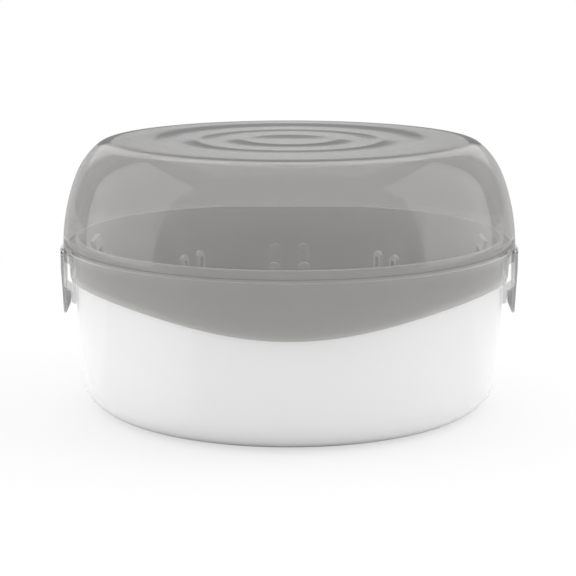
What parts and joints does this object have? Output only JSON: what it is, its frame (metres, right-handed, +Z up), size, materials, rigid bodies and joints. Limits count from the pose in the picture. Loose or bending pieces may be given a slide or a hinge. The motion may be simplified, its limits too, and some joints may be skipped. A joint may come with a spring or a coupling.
{
  "type": "microwave bottle sterilizer",
  "caption": "White round bowl with an upright bottle rack inside, covered by a clear smoke-grey domed lid that two hinged side clips hold down.",
  "frame": {"origin": "on the ground, under the middle of the bowl", "axes": "+Z up, +X and -X towards the two clips, -Y towards the front"},
  "size_m": [0.2846, 0.2792, 0.1654],
  "materials": {
    "white_plastic": "smooth satin gloss, white",
    "rack_plastic": "smooth satin gloss, white",
    "smoke_plastic": "polished, clear smoke grey",
    "clip_plastic": "polished, clear smoke grey"
  },
  "bodies": {
    "base": {"base_bowl": "white_plastic"},
    "rack": {"bottle_rack": "rack_plastic", "left_lift_arm": "rack_plastic", "right_lift_arm": "rack_plastic"},
    "lid": {"lid": "smoke_plastic"},
    "left_clip": {"left_clip": "clip_plastic"},
    "right_clip": {"right_clip": "clip_plastic"}
  },
  "joints": [
    {"name": "lid_lift", "type": "slide", "parent": "base", "child": "lid", "axis": [0, 0, 1], "range_m": [0, 0.2]},
    {"name": "rack_lift", "type": "slide", "parent": "base", "child": "rack", "axis": [0, 0, 1], "range_m": [0, 0.025]},
    {"name": "left_clip_hinge", "type": "hinge", "parent": "lid", "child": "left_clip", "pos_m": [-0.1397, 0, 0.0965], "axis": [0, 1, 0], "range_deg": [0, 105]},
    {"name": "right_clip_hinge", "type": "hinge", "parent": "lid", "child": "right_clip", "pos_m": [0.1397, 0, 0.0965], "axis": [0, -1, 0], "range_deg": [0, 105]}
  ]
}
